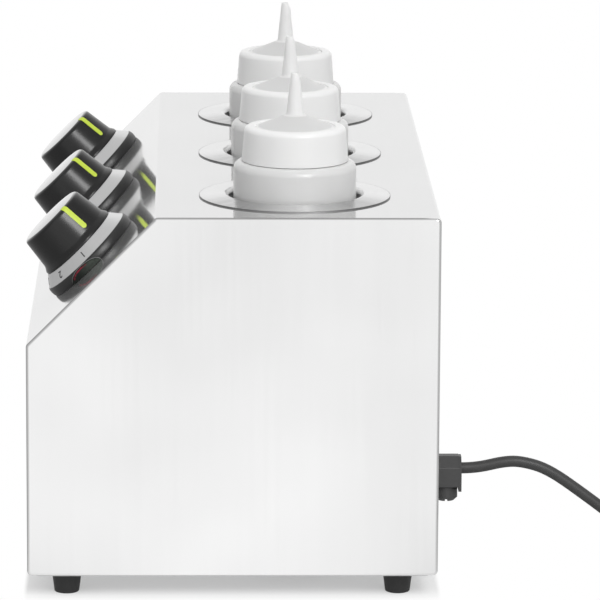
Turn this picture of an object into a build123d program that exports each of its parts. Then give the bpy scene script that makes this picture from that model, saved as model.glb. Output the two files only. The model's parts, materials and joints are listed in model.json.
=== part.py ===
from build123d import *
import os
from math import cos, hypot, pi, radians, sin, tan

# Countertop sauce warmer: three heated wells in a bent stainless casing, one squeeze bottle in each.
# Frame: +X along the row of wells towards the end with the cord grip, +Y from the control panel to
# the back, +Z up. Origin under the middle of the casing, on the surface that the feet stand on.
# Stations are numbered 1 to 3 from left to right as the user at the control panel sees them.

# ---- casing ------------------------------------------------------------------------------------
casing_length = 480.0  # over the end panels
casing_depth = 255.0
casing_height = 226.0  # without the feet
slope_run = 80.0  # control panel, measured along Y
slope_rise = 80.0  # and along Z
sheet = 1.0
bend_radius = 3.0  # outside of the wrapper's bends
smallest_bend = 0.3
return_width = 14.0  # flanges under the wrapper that carry the base plate
pan_radius = 2.0  # rounded edge of the end panels
pan_land = 0.5  # straight rim beside that edge
lip_depth = 8.0  # how far an end panel's lip reaches into the wrapper
lip_gap = 0.1

# ---- base plate and feet -----------------------------------------------------------------------
base_sheet = 1.0
base_inset = 4.0
base_corner = 5.0
vent_width = 4.0
vent_length = 44.0
vent_pitch = 13.0
vents_per_well = 5
foot_height = 15.0
foot_top_radius = 9.6
foot_bottom_radius = 7.7
foot_from_end = 25.0
foot_from_side = 24.0
foot_recess_radius = 5.0
foot_recess_depth = 7.0
foot_edge_radius = 1.0
foot_screw_above_base = 6.0
screw_radius = 2.0  # M4 throughout
screw_clearance = 0.1
screw_head_radius = 3.9
screw_head_height = 2.6
screw_head_edge = 1.0
nut_across_flats = 7.0
nut_height = 3.0
thread_fit = 0.02  # keeps a thread's two surfaces apart
base_screws_per_side = 4
base_screw_length = 9.0

# ---- wells -------------------------------------------------------------------------------------
stations = 3
row_left_margin = 95.5  # from the casing's left end to the first well's axis
row_right_margin = 77.5  # from the last well's axis to the end nearer the cord
well_from_front = 166.5
well_gap = 2.65  # round the bottle
well_sheet = 0.8
well_floor_radius = 6.0
room_under_wells = 38.0  # between the wells' floors and the casing's underside
flange_width = 18.85  # from the well's inside to the flange's rim
flange_rise = 1.5
flange_roll = 3.0  # where the flange turns down into the well
well_hole_gap = 1.5
pocket_bore = 3.2  # radius of the pocket that holds the temperature bulb
pocket_wall = 0.7
pocket_length = 52.0
pocket_below_top = 70.0
pocket_weld = 0.3  # how far the pocket sinks into the well's wall

# ---- heaters and cutouts -----------------------------------------------------------------------
band_gap = 0.1
band_thickness = 2.4
band_height = 70.0
band_above_floor = 8.0
band_slot = 10.0
ear_reach = 11.0
ear_height = 18.0
ear_sheet = 1.5
ear_gap = 0.4  # between an ear's root and the well
band_terminal_width = 16.0
band_terminal_height = 10.0
band_terminal_reach = 8.0
cutout_radius = 8.5
cutout_height = 8.0
cutout_flange_radius = 12.0
cutout_flange = 1.0
cutout_blade_height = 1.0
blade_width = 6.3
blade_sheet = 0.8
blade_length = 8.0

# ---- squeeze bottles ---------------------------------------------------------------------------
bottle_radius = 38.5
bottle_wall = 1.2
bottle_rest_gap = 0.2
bottle_foot_radius = 5.0
push_up = 2.5
push_up_radius = 25.0
shoulder_above_top = 22.6  # flat of the shoulder above the casing's top
shoulder_radius = 5.0
neck_radius = 29.3
neck_wall = 1.6
neck_height = 18.6
bead_height = 2.4  # bead under the thread
bead_reach = 0.9
bead_above_shoulder = 1.2

# ---- caps --------------------------------------------------------------------------------------
cap_gap = 0.4
cap_height = 21.5  # skirt, to the top of the rim
cap_wall = 1.8
cap_thread_gap = 0.5  # between the neck and the skirt
cap_taper = 1.7  # how much wider the skirt is at its foot
cap_roof = 2.4
cap_rim_radius = 3.2
cone_radius = 25.0
cone_step = 1.0
cone_edge_radius = 0.8
cone_height = 7.3  # from the rim to the root of the nozzle
nozzle_root_radius = 5.5
nozzle_tip_radius = 2.8
nozzle_length = 26.0
nozzle_wall = 1.5
nozzle_tip_wall = 1.1
nozzle_fillet = 2.0
nozzle_cut_height = 9.5  # slanting cut at the tip
nozzle_cut_reach = 1.3

# ---- dials and knobs ---------------------------------------------------------------------------
dial_foot_radius = 32.7
dial_radius = 33.7
dial_widest = 3.0  # height of the widest place
dial_ledge = 6.3
dial_draft = 0.3
dial_edge_radius = 1.5
dial_ledge_edge = 0.5
dial_wall = 1.6
dial_top = 12.8
dish_radius = 20.4
dish_floor = 2.4
ring_bottom_radius = 32.7
ring_top_radius = 27.1
ring_bottom = 6.4
ring_top = 13.2
ring_wall = 1.3
ring_gap = 0.1
lens_angle = -7.0  # from +X towards the top of the panel
lens_half_length = 12.0
lens_height = 5.6
lens_reach = 1.1
lens_gap = 0.12
lens_foot_gap = 0.2
lens_edge_radius = 1.8
lens_inner_radius = 31.4
lamp_radius = 26.4  # place of the pilot lamp behind the lens
lamp_size = (5.0, 16.0, 5.0)
lamp_edge_radius = 1.6
lamp_wire_hole = 2.0
knob_clearance = 0.4
knob_skirt_radius = 27.0
knob_skirt_land = 1.0
knob_neck_radius = 25.1
knob_neck = 17.6
knob_neck_fillet = 2.5
knob_top_radius = 22.4
knob_top = 38.5
knob_edge_radius = 3.0
knob_crown = 0.6
knob_wall = 2.2
hub_radius = 6.0
hub_bottom = 6.0
rib_count = 6
rib_width = 1.4
rib_above_skirt = 4.6
pointer_width = 3.5
pointer_bottom = 19.5
pointer_start = 3.2  # in from the edge of the knob's top
pointer_depth = 1.0
pointer_proud = 0.15
pointer_gap = 0.05
pointer_angles = (55.0, 50.0, 34.0)  # at rest, from +X towards the top of the panel

# ---- thermostats -------------------------------------------------------------------------------
thermostat_size = (36.0, 42.0, 24.0)  # along X, up the panel, into the casing
thermostat_corner = 3.0
thermostat_edge = 1.5
bush_radius = 5.0
bush_height = 1.8
bush_gap = 0.5
shaft_radius = 3.0
shaft_clearance = 0.05
shaft_depth = 14.0
shaft_top = 32.0
shaft_flat = 0.9
shaft_flat_length = 14.0
fixing_spacing = 28.0
fixing_reach = 6.0  # of a fixing screw into the thermostat
bulb_radius = 3.0
bulb_length = 60.0
bulb_edge_radius = 1.2
bulb_rest_gap = 0.3
capillary_radius = 0.8
capillary_rise = 20.0
capillary_bend = 9.0

# ---- mains inlet -------------------------------------------------------------------------------
cord_from_end = 60.0
cord_height = 70.5
cord_radius = 3.6
grip_width = 20.0
grip_depth = 15.2
grip_above = 8.5  # above and below the cord
grip_below = 10.5
grip_bevel = 6.5
grip_edge_radius = 0.8
cover_depth = 1.8
cover_below = 13.5
cover_inset = 0.3
cover_corner = 1.5
cover_skin = 0.4  # closes round the cord
spigot_radius = 8.0
spigot_gap = 0.1
spigot_length = 6.0
barb_reach = 1.0
barb_width = 1.4
plunger_radius = 7.3
plunger_length = 9.8
plunger_chamfer = 2.0
plunger_slot_width = 1.6
plunger_slot_depth = 1.5
block_size = (34.0, 18.0, 20.0)
block_poles = 3
block_gap = 1.0  # between the block and the wrapper's flange
block_from_cord = 33.0
pole_screw_radius = 3.4
pole_screw_depth = 7.0
pole_wire_radius = 2.5
pole_wire_height = 8.0
pole_barrier_gap = 1.2
pole_barrier_depth = 5.0
earth_radius = 2.5
earth_height = 14.0
earth_from_block = 30.0
earth_across_flats = 9.0
earth_head_height = 2.4
earth_nut_height = 3.6
earth_nut_spacing = 6.0

# ---- free cord, coil and plug ------------------------------------------------------------------
# Route from the grip to the coil: (distance behind the back panel, height). It stays in the plane
# of the grip, then lies down on the surface.
cord_points = [
    (17.0, 70.5),
    (26.7, 70.5),
    (44.7, 74.9),
    (55.9, 74.7),
    (71.9, 69.9),
    (94.2, 54.2),
    (131.0, 26.0),
    (160.0, 9.0),
    (188.0, 3.6),
    (216.0, 3.6),
]
coil_radius = 38.0  # middle of the turns
coil_across = 3  # cords side by side in the lower layer
coil_pitch = 7.3
coil_layer = 6.4
lead_points = [(0.0, 10.0), (20.0, 10.3), (42.0, 15.4), (64.0, 18.5), (78.0, 18.5)]
plug_radius = 18.5
plug_head = 15.0
plug_neck_radius = 10.5
plug_taper = 14.0
boot_radius = 6.0
boot_length = 22.0
boot_wall = 1.2
boot_grooves = 4
boot_groove_pitch = 4.0
boot_groove_width = 1.4
boot_first_groove = 3.5
boot_core_wall = 0.6
plug_neck_fillet = 3.0
plug_shoulder_radius = 5.0
plug_face_edge = 1.0
plug_flat = 16.4
plug_flat_width = 12.0
plug_flat_from_shoulder = 4.0
pin_radius = 2.4
pin_length = 19.0
pin_spacing = 19.0
pin_tip_radius = 1.6

# ---- worked out from the above -----------------------------------------------------------------
half_length = casing_length / 2
front_y, back_y = -casing_depth / 2, casing_depth / 2
base_z = foot_height + base_sheet
top_z = base_z + casing_height
seam_x = half_length - pan_radius - pan_land
slope_length = hypot(slope_run, slope_rise)
well_pitch = (casing_length - row_left_margin - row_right_margin) / (stations - 1)
well_xs = [row_left_margin - half_length + i * well_pitch for i in range(stations)]
well_y = front_y + well_from_front
well_radius = bottle_radius + well_gap
well_outer = well_radius + well_sheet
well_floor_z = base_z + room_under_wells
flange_radius = well_radius + flange_width
cap_top_radius = neck_radius + cap_thread_gap + cap_wall
cap_bottom_radius = cap_top_radius + cap_taper
pointer_inner_radius = knob_top_radius - pointer_start
cord_x = half_length - cord_from_end
slope_up = Vector(0, slope_run / slope_length, slope_rise / slope_length)
slope_out = Vector(0, -slope_rise / slope_length, slope_run / slope_length)
slope_middle_y = front_y + slope_run / 2
slope_middle_z = top_z - slope_rise / 2
pocket_radius = pocket_bore + pocket_wall
pocket_y = well_y - well_outer - pocket_radius + pocket_weld
pocket_top_z = top_z - pocket_below_top


def rounded_face(edges, *roundings):
    """Face inside closed edges; each rounding is a radius followed by the corners it applies to."""
    face = make_face(edges).face()
    for radius, *corners in roundings:
        picked = [min(face.vertices(), key=lambda v: (v.center() - Vector(*c)).length) for c in corners]
        face = face.fillet_2d(radius, picked)
    return face


def polygon(points, *roundings):
    return rounded_face(Polyline(*points, close=True).edges(), *roundings)


def turned(face):
    """Solid of revolution about Z from a face drawn as (radius, height)."""
    return revolve(Plane.XZ * face, axis=Axis.Z)


def cylinder(radius, bottom, top, x=0.0, y=0.0):
    return Pos(x, y, bottom) * Cylinder(radius, top - bottom, align=(Align.CENTER, Align.CENTER, Align.MIN))


def block(low, high):
    """Box between two opposite corners."""
    size = [b - a for a, b in zip(low, high)]
    return Pos(*low) * Box(*size, align=(Align.MIN, Align.MIN, Align.MIN))


def hexagon(across_flats, height):
    return extrude(RegularPolygon(across_flats / 2, 6, major_radius=False), amount=height)


def pan_screw(length):
    """Pan head screw pointing up: the head's underside is at Z 0 and the shank ends at length."""
    head = polygon(
        [(0, -screw_head_height), (screw_head_radius, -screw_head_height), (screw_head_radius, 0), (0, 0)],
        (screw_head_edge, (screw_head_radius, -screw_head_height)),
    )
    return turned(head) + cylinder(screw_radius, -0.1, length)


def nut():
    return hexagon(nut_across_flats, nut_height) - cylinder(screw_radius + thread_fit, -1, nut_height + 1)


def tube(points, radius, bends):
    """Round rod along straight runs joined by tangent arcs."""
    path = FilletPolyline(*points, radius=bends)
    section = Plane(origin=points[0], z_dir=Vector(*points[1]) - Vector(*points[0])) * Circle(radius)
    return sweep(section, path=path)


def at_station(index, solid):
    """Moves what is drawn about a well's axis to its well."""
    return Pos(well_xs[index], well_y, 0) * solid


def on_panel(index, solid):
    """Moves what is drawn on the XY plane, +Y up the slope and +Z out of it, to its dial."""
    plane = Plane(origin=(well_xs[index], slope_middle_y, slope_middle_z), x_dir=(1, 0, 0), z_dir=slope_out)
    return plane.location * solid


# ---- casing ------------------------------------------------------------------------------------
def casing_outline(inset):
    """End view of the casing, as (Y, Z), moved inwards by inset with its corners rounded to match."""
    corners = [
        (front_y, base_z),
        (back_y, base_z),
        (back_y, top_z),
        (front_y + slope_run, top_z),
        (front_y, top_z - slope_rise),
    ]
    face = make_face(Polyline(*corners, close=True).edges())
    if inset:
        face = offset(face, -inset)
    face = face.face()
    return face.fillet_2d(max(bend_radius - inset, smallest_bend), face.vertices())


def slab(face, low_x, high_x):
    return extrude(Plane.YZ.offset(low_x) * face, amount=high_x - low_x)


def foot_places():
    x = half_length - foot_from_end
    y = casing_depth / 2 - foot_from_side
    return {"front_left": (-x, -y), "front_right": (x, -y), "back_left": (-x, y), "back_right": (x, y)}


def base_screw_places():
    """Screws through the base plate into the wrapper's front and back flanges."""
    reach = casing_length - 4 * foot_from_end
    xs = [reach * (i / (base_screws_per_side - 1) - 0.5) for i in range(base_screws_per_side)]
    inset = base_inset + (return_width - base_inset) / 2
    return [(x, y) for x in xs for y in (front_y + inset, back_y - inset)]


def make_casing_wrapper():
    """Front, control panel, top and back bent from one sheet, with a flange along each lower edge."""
    wrapper = slab(casing_outline(0), -seam_x, seam_x)
    wrapper -= slab(casing_outline(sheet), -seam_x - 1, seam_x + 1)
    wrapper -= block(
        (-seam_x - 1, front_y + return_width, base_z - 1),
        (seam_x + 1, back_y - return_width, base_z + 2 * sheet),
    )
    for x in well_xs:
        wrapper -= cylinder(well_outer + well_hole_gap, top_z - 2 * sheet, top_z + 1, x, well_y)
        wrapper -= cylinder(pocket_radius + well_hole_gap, top_z - 2 * sheet, top_z + 1, x, pocket_y)
    panel_holes = cylinder(bush_radius + bush_gap, -2 * sheet, 1)
    for y in (-fixing_spacing / 2, fixing_spacing / 2):
        panel_holes += cylinder(screw_radius + screw_clearance, -2 * sheet, 1, 0, y)
    lamp_x, lamp_y = lamp_radius * cos(radians(lens_angle)), lamp_radius * sin(radians(lens_angle))
    panel_holes += cylinder(lamp_wire_hole, -2 * sheet, 1, lamp_x, lamp_y)
    for index in range(stations):
        wrapper -= on_panel(index, panel_holes)
    for x, y in base_screw_places():
        wrapper -= cylinder(screw_radius + screw_clearance, base_z - 1, base_z + 2 * sheet, x, y)
    inlet = Rot(90, 0, 0) * cylinder(spigot_radius + spigot_gap, -1, 2 * sheet)
    return wrapper - Pos(cord_x, back_y, cord_height) * inlet


def make_end_panel():
    """Right-hand end: a flat sheet with a rounded edge and a lip that fits inside the wrapper."""
    panel = slab(casing_outline(0), seam_x, half_length)
    panel = fillet(panel.faces().sort_by(Axis.X)[-1].edges(), pan_radius)
    panel += slab(casing_outline(sheet + lip_gap), seam_x - lip_depth, seam_x + pan_land)
    inside = casing_outline(2 * sheet + lip_gap)
    return panel - slab(inside, seam_x - lip_depth - 1, half_length - sheet)


def make_base_plate():
    size = (casing_length - 2 * base_inset, casing_depth - 2 * base_inset)
    plate = RectangleRounded(*size, base_corner)
    for x, y in foot_places().values():
        plate -= Pos(x, y) * Circle(screw_radius + screw_clearance)
    for x, y in base_screw_places():
        plate -= Pos(x, y) * Circle(screw_radius + screw_clearance)
    for x in well_xs:
        for row in range(vents_per_well):
            shift = (row - (vents_per_well - 1) / 2) * vent_pitch
            plate -= Pos(x + shift, well_y) * SlotOverall(vent_length, vent_width, rotation=90)
    earth_x, earth_y = earth_place()
    plate -= Pos(earth_x, earth_y) * Circle(earth_radius + screw_clearance)
    return extrude(Pos(0, 0, foot_height) * plate, amount=base_sheet)


def make_foot():
    """Tapered rubber foot with a recess for its screw's head."""
    section = polygon(
        [
            (screw_radius + screw_clearance, foot_height),
            (screw_radius + screw_clearance, foot_recess_depth),
            (foot_recess_radius, foot_recess_depth),
            (foot_recess_radius, 0),
            (foot_bottom_radius, 0),
            (foot_top_radius, foot_height),
        ],
        (foot_edge_radius, (foot_bottom_radius, 0)),
    )
    return turned(section)


def make_foot_fasteners():
    pieces = []
    length = base_z + foot_screw_above_base - foot_recess_depth
    for x, y in foot_places().values():
        pieces.append(Pos(x, y, foot_recess_depth) * pan_screw(length))
        pieces.append(Pos(x, y, base_z) * nut())
    return pieces


def make_base_screws():
    return [Pos(x, y, foot_height) * pan_screw(base_screw_length) for x, y in base_screw_places()]


# ---- wells, heaters and sensors ----------------------------------------------------------------
def make_well_liner():
    """Deep drawn pot: its flange rests on the casing's top and rolls over into the well."""
    lip_z = top_z + well_sheet + flange_rise
    under_z = well_floor_z - well_sheet
    section = polygon(
        [
            (flange_radius, top_z + well_sheet),
            (well_radius, lip_z),
            (well_radius, well_floor_z),
            (0, well_floor_z),
            (0, under_z),
            (well_outer, under_z),
            (well_outer, lip_z - well_sheet),
            (flange_radius, top_z),
        ],
        (flange_roll, (well_radius, lip_z)),
        (flange_roll - well_sheet, (well_outer, lip_z - well_sheet)),
        (well_floor_radius, (well_radius, well_floor_z)),
        (well_floor_radius + well_sheet, (well_outer, under_z)),
    )
    pocket_z = pocket_top_z - pocket_length
    offset_y = pocket_y - well_y
    pocket = cylinder(pocket_radius, pocket_z, pocket_top_z, 0, offset_y)
    bore = cylinder(pocket_bore, pocket_z + pocket_wall, pocket_top_z + 1, 0, offset_y)
    inside = cylinder(well_radius + well_sheet / 2, pocket_z - 1, pocket_top_z + 1)
    return turned(section) + (pocket - bore - inside)


def make_heater_band():
    """Band heater clamped round the foot of the well by two ears; its terminals face the back."""
    inner = well_outer + band_gap
    outer = inner + band_thickness
    low = well_floor_z + band_above_floor
    high = low + band_height
    middle = (low + high) / 2
    band = cylinder(outer, low, high) - cylinder(inner, low - 1, high + 1)
    band -= block((-band_slot / 2, -outer - 5, low - 1), (band_slot / 2, 0, high + 1))
    for side in (-1, 1):
        x = side * (band_slot + ear_sheet) / 2
        ear = Box(ear_sheet, ear_reach + band_thickness, ear_height)
        hole = Rot(0, 90, 0) * Cylinder(screw_radius + screw_clearance, 4 * ear_sheet)
        place_y = -inner - (ear_reach + band_thickness) / 2 - ear_gap
        band += Pos(x, place_y, middle) * (ear - Pos(0, -band_thickness, 0) * hole)
    terminal = block(
        (-band_terminal_width / 2, outer - 1, middle - band_terminal_height / 2),
        (band_terminal_width / 2, outer + band_terminal_reach, middle + band_terminal_height / 2),
    )
    for side in (-1, 1):
        x = side * band_terminal_width / 4
        reach = outer + band_terminal_reach
        terminal += block(
            (x - blade_width / 2, reach - 1, middle - blade_sheet / 2),
            (x + blade_width / 2, reach + blade_length, middle + blade_sheet / 2),
        )
    return band + (terminal - cylinder(inner + band_thickness / 2, low, high))


def make_band_screw():
    """Clamp screw through both ears of a band, with its nut."""
    inner = well_outer + band_gap
    place_y = -inner - (ear_reach + band_thickness) / 2 - ear_gap - band_thickness
    middle = well_floor_z + band_above_floor + band_height / 2
    reach = band_slot / 2 + ear_sheet
    screw = Pos(-reach, place_y, middle) * Rot(0, 90, 0) * pan_screw(2 * reach + nut_height + 1)
    return [screw, Pos(reach, place_y, middle) * Rot(0, 90, 0) * nut()]


def make_thermal_cutout():
    """Disc thermostat clamped to the underside of a well."""
    under = well_floor_z - well_sheet
    cutout = cylinder(cutout_flange_radius, under - cutout_flange, under)
    cutout += cylinder(cutout_radius, under - cutout_height, under)
    for side in (-1, 1):
        low = min(side * (cutout_radius - 1), side * (cutout_radius + blade_length))
        high = max(side * (cutout_radius - 1), side * (cutout_radius + blade_length))
        z = under - cutout_height + cutout_blade_height
        cutout += block((low, -blade_width / 2, z), (high, blade_width / 2, z + blade_sheet))
    return cutout


def make_thermostat():
    """Capillary thermostat behind the panel: switch body, bush for the shaft and terminal blades."""
    width, height, depth = thermostat_size
    body = extrude(RectangleRounded(width, height, thermostat_corner), amount=-depth)
    body = Pos(0, 0, -sheet) * fillet(body.faces().sort_by(Axis.Z)[0].edges(), thermostat_edge)
    body += cylinder(bush_radius, -sheet - 0.5, bush_height)
    body -= cylinder(shaft_radius + shaft_clearance, -shaft_depth - 0.5, bush_height + 1)
    for y in (-fixing_spacing / 2, fixing_spacing / 2):
        body -= cylinder(screw_radius + thread_fit, -sheet - fixing_reach - 2, 0, 0, y)
    for x in (-width / 4, width / 4):
        bottom = -sheet - depth
        body += block(
            (x - blade_width / 2, height / 4 - blade_sheet, bottom - blade_length),
            (x + blade_width / 2, height / 4, bottom + 1),
        )
    return body


def make_thermostat_screws():
    """Two screws from the floor of the dial base through the panel into the thermostat."""
    screw = Rot(180, 0, 0) * pan_screw(dish_floor + sheet + fixing_reach)
    return [Pos(0, y, dish_floor) * screw for y in (-fixing_spacing / 2, fixing_spacing / 2)]


def make_thermostat_bulb(index):
    """Bulb standing in the well's pocket and the capillary that ends at the thermostat's back."""
    x = well_xs[index]
    bulb_bottom = pocket_top_z - pocket_length + pocket_wall + bulb_rest_gap
    bulb_top = bulb_bottom + bulb_length
    bulb = cylinder(bulb_radius, bulb_bottom, bulb_top, x, pocket_y)
    bulb = fillet(bulb.edges().filter_by(GeomType.CIRCLE), bulb_edge_radius)
    depth = sheet + thermostat_size[2]
    end = Vector(x, slope_middle_y, slope_middle_z) - slope_out * depth - slope_up * (thermostat_size[1] / 6)
    foot = end - slope_out * capillary_rise
    path = [
        (x, pocket_y, bulb_top - 1),
        (x, pocket_y, bulb_top + capillary_rise),
        (x, (pocket_y + foot.Y) / 2, bulb_top + capillary_rise),
        tuple(foot),
        tuple(end),
    ]
    return bulb + tube(path, capillary_radius, capillary_bend)


# ---- squeeze bottles ---------------------------------------------------------------------------
def make_bottle():
    """Blow moulded bottle with a pushed up base, a shoulder and a neck with a bead, open at the top."""
    low = well_floor_z + bottle_rest_gap
    shoulder = top_z + shoulder_above_top
    mouth = shoulder + neck_height
    inner, neck_inner = bottle_radius - bottle_wall, neck_radius - neck_wall
    bead_low = shoulder + bead_above_shoulder
    section = polygon(
        [
            (0, low + push_up),
            (push_up_radius, low + push_up),
            (push_up_radius + push_up, low),
            (bottle_radius, low),
            (bottle_radius, shoulder),
            (neck_radius, shoulder),
            (neck_radius, mouth),
            (neck_inner, mouth),
            (neck_inner, shoulder - bottle_wall),
            (inner, shoulder - bottle_wall),
            (inner, low + bottle_wall),
            (push_up_radius + push_up + bottle_wall / 2, low + bottle_wall),
            (push_up_radius + bottle_wall / 2, low + push_up + bottle_wall),
            (0, low + push_up + bottle_wall),
        ],
        (bottle_foot_radius, (bottle_radius, low)),
        (bottle_foot_radius - bottle_wall, (inner, low + bottle_wall)),
        (shoulder_radius, (bottle_radius, shoulder)),
        (shoulder_radius - bottle_wall, (inner, shoulder - bottle_wall)),
    )
    bead = cylinder(neck_radius + bead_reach, bead_low, bead_low + bead_height)
    return turned(section) + (bead - cylinder(neck_radius - 0.5, bead_low - 1, bead_low + bead_height + 1))


def make_bottle_cap():
    """Screw cap: tapered skirt, flat rim, and a shallow cone that carries the slant-cut nozzle."""
    low = top_z + shoulder_above_top + cap_gap
    rim = low + cap_height
    roof = rim - cap_roof
    root = rim + cone_height
    tip = root + nozzle_length
    slope = (cone_height + cone_step) / (cone_radius - nozzle_root_radius)
    bore_root = nozzle_root_radius - nozzle_wall
    bore_tip = nozzle_tip_radius - nozzle_tip_wall
    inner_cone = roof - cone_step + slope * (cone_radius - bore_root)
    section = polygon(
        [
            (cap_bottom_radius, low),
            (cap_top_radius, rim),
            (cone_radius, rim),
            (cone_radius, rim - cone_step),
            (nozzle_root_radius, root),
            (nozzle_tip_radius, tip),
            (bore_tip, tip),
            (bore_root, inner_cone + cone_step),
            (cone_radius - 1, roof),
            (cap_top_radius - cap_wall, roof),
            (cap_bottom_radius - cap_wall, low),
        ],
        (cap_rim_radius, (cap_top_radius, rim)),
        (cone_edge_radius, (cone_radius, rim)),
        (nozzle_fillet, (nozzle_root_radius, root)),
    )
    cap = turned(section)
    slant = polygon(
        [
            (nozzle_cut_reach, tip + 1),
            (nozzle_cut_reach, tip),
            (nozzle_root_radius, tip - nozzle_cut_height),
            (nozzle_root_radius + 5, tip - nozzle_cut_height),
            (nozzle_root_radius + 5, tip + 1),
        ]
    )
    reach = nozzle_root_radius + 5
    return cap - slab(slant, -reach, reach)


# ---- dials and knobs ---------------------------------------------------------------------------
def lens_outline(grow):
    """Half oval that stands on the panel, as (along the rim, height)."""
    oval = Ellipse(lens_half_length + grow, lens_height + grow)
    return oval & Pos(0, lens_height + grow) * Rectangle(3 * lens_half_length, 2 * (lens_height + grow))


def lens_prism(grow, low, high):
    """The lens's outline run outwards from the dial's axis, between two radii."""
    outline = Plane(origin=(low, 0, 0), x_dir=(0, 1, 0), z_dir=(1, 0, 0)) * lens_outline(grow)
    return Rot(0, 0, lens_angle) * extrude(outline, amount=high - low)


def make_dial_base():
    """Moulded base: outer wall and cone under the number ring, with a dished middle for the screws."""
    cone_foot = ring_bottom_radius - ring_wall
    cone_top = ring_top_radius - ring_wall
    wall_inner = dial_foot_radius - dial_wall
    section = polygon(
        [
            (bush_radius + bush_gap, 0),
            (dish_radius + dial_wall, 0),
            (dish_radius + dial_wall, dial_top - dial_wall),
            (cone_top - dial_wall, dial_top - dial_wall),
            (cone_foot - dial_wall, dial_ledge - dial_wall),
            (wall_inner, dial_ledge - dial_wall),
            (wall_inner, 0),
            (dial_foot_radius, 0),
            (dial_radius, dial_widest),
            (dial_radius - dial_draft, dial_ledge),
            (cone_foot, dial_ledge),
            (cone_top, dial_top),
            (dish_radius, dial_top),
            (dish_radius, dish_floor),
            (bush_radius + bush_gap, dish_floor),
        ],
        (dial_edge_radius, (dial_radius, dial_widest)),
        (dial_ledge_edge, (dial_radius - dial_draft, dial_ledge)),
    )
    base = turned(section)
    for y in (-fixing_spacing / 2, fixing_spacing / 2):
        base -= cylinder(screw_radius + screw_clearance, -1, dish_floor + 1, 0, y)
    return base - lens_prism(lens_gap, lens_inner_radius - 4, dial_radius + 5)


def make_scale_ring():
    section = polygon(
        [
            (ring_bottom_radius, ring_bottom),
            (ring_top_radius, ring_top),
            (ring_top_radius - ring_wall + ring_gap, ring_top),
            (ring_bottom_radius - ring_wall + ring_gap, ring_bottom),
        ]
    )
    return turned(section)


def make_lamp_lens():
    """Half oval lens in the side of the base, a little proud of it and rounded over."""
    outer = dial_radius + lens_reach
    section = polygon(
        [
            (lens_inner_radius, lens_foot_gap),
            (outer, lens_foot_gap),
            (outer, lens_height),
            (lens_inner_radius, lens_height),
        ],
        (lens_edge_radius, (outer, lens_height)),
    )
    prism = lens_prism(0, lens_inner_radius - 4, outer + 2)
    return turned(section) & prism


def make_pilot_lamp():
    lamp = Box(*lamp_size, align=(Align.CENTER, Align.CENTER, Align.MIN))
    lamp = fillet(lamp.edges().filter_by(Axis.Y).sort_by(Axis.Z)[-2:], lamp_edge_radius)
    return Rot(0, 0, lens_angle) * Pos(lamp_radius, 0, 0) * lamp


def knob_outline(grow):
    """Outside of the knob as (radius, height), moved outwards by grow."""
    low = ring_top + knob_clearance
    land = low + knob_skirt_land
    crown = knob_top - knob_crown
    edges = [
        Line((0, low), (knob_skirt_radius + grow, low)),
        Line((knob_skirt_radius + grow, low), (knob_skirt_radius + grow, land)),
        Line((knob_skirt_radius + grow, land), (knob_neck_radius + grow, knob_neck)),
        Line((knob_neck_radius + grow, knob_neck), (knob_top_radius + grow, crown + grow)),
        ThreePointArc(
            (knob_top_radius + grow, crown + grow),
            (knob_top_radius / 2, knob_top - knob_crown / 4 + grow),
            (0, knob_top + grow),
        ),
        Line((0, knob_top + grow), (0, low)),
    ]
    return rounded_face(
        edges,
        (knob_edge_radius + grow, (knob_top_radius + grow, crown + grow)),
        (knob_neck_fillet, (knob_neck_radius + grow, knob_neck)),
    )


def pointer_prism(index, grow):
    """Stripe down the knob's side and in towards its middle, with both ends rounded."""
    half = pointer_width / 2 + grow
    tall = knob_top + 5
    reach = knob_skirt_radius + 5
    side = Pos(0, pointer_bottom + half - grow) * Circle(half)
    side += Pos(0, (pointer_bottom + half - grow + tall) / 2) * Rectangle(
        2 * half, tall - pointer_bottom - half + grow
    )
    side = extrude(Plane(origin=(0, 0, 0), x_dir=(0, 1, 0), z_dir=(1, 0, 0)) * side, amount=reach)
    above = Pos(pointer_inner_radius + half - grow, 0) * Circle(half)
    above += Pos((pointer_inner_radius + half - grow + reach) / 2, 0) * Rectangle(
        reach - pointer_inner_radius - half + grow, 2 * half
    )
    return Rot(0, 0, pointer_angles[index]) * (side & extrude(above, amount=tall))


def make_control_knob(index):
    """Hollow moulded knob with a hub for the shaft, ribs inside and a slot for the pointer."""
    low = ring_top + knob_clearance
    knob = turned(knob_outline(0))
    roof = knob_top - knob_crown - knob_wall
    cavity = polygon(
        [
            (0, low - 1),
            (knob_skirt_radius - knob_wall, low - 1),
            (knob_neck_radius - knob_wall, knob_neck),
            (knob_top_radius - knob_wall, roof),
            (0, roof),
        ]
    )
    knob -= turned(cavity)
    knob += cylinder(hub_radius, hub_bottom, roof + 0.5)
    rib = block((0, -rib_width / 2, low + rib_above_skirt), (knob_neck_radius, rib_width / 2, roof + 0.5))
    rib &= turned(knob_outline(-knob_wall / 2))
    for turn in range(rib_count):
        knob += Rot(0, 0, pointer_angles[index] + turn * 360 / rib_count) * rib
    knob -= shaft(index, shaft_clearance / 2, hub_bottom - 1, shaft_top + 0.5)
    return knob - (pointer_prism(index, pointer_gap) & pointer_band(pointer_gap))


def pointer_band(grow):
    """Skin of the knob that the pointer is cut from."""
    core = turned(knob_outline(-pointer_depth - grow))
    return turned(knob_outline(pointer_proud + grow)) - core


def make_knob_pointer(index):
    return pointer_prism(index, 0) & pointer_band(0)


def shaft(index, grow, low, high):
    """Shaft with a flat along its upper end, between two heights."""
    radius = shaft_radius + grow
    rod = cylinder(radius, low, high)
    flat_low = shaft_top - shaft_flat_length + grow
    flat = block((radius - shaft_flat, -radius, flat_low), (radius + 1, radius, high + 1))
    return rod - Rot(0, 0, pointer_angles[index] + 90) * flat


def make_thermostat_shaft(index):
    return shaft(index, 0, -shaft_depth, shaft_top)


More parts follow.
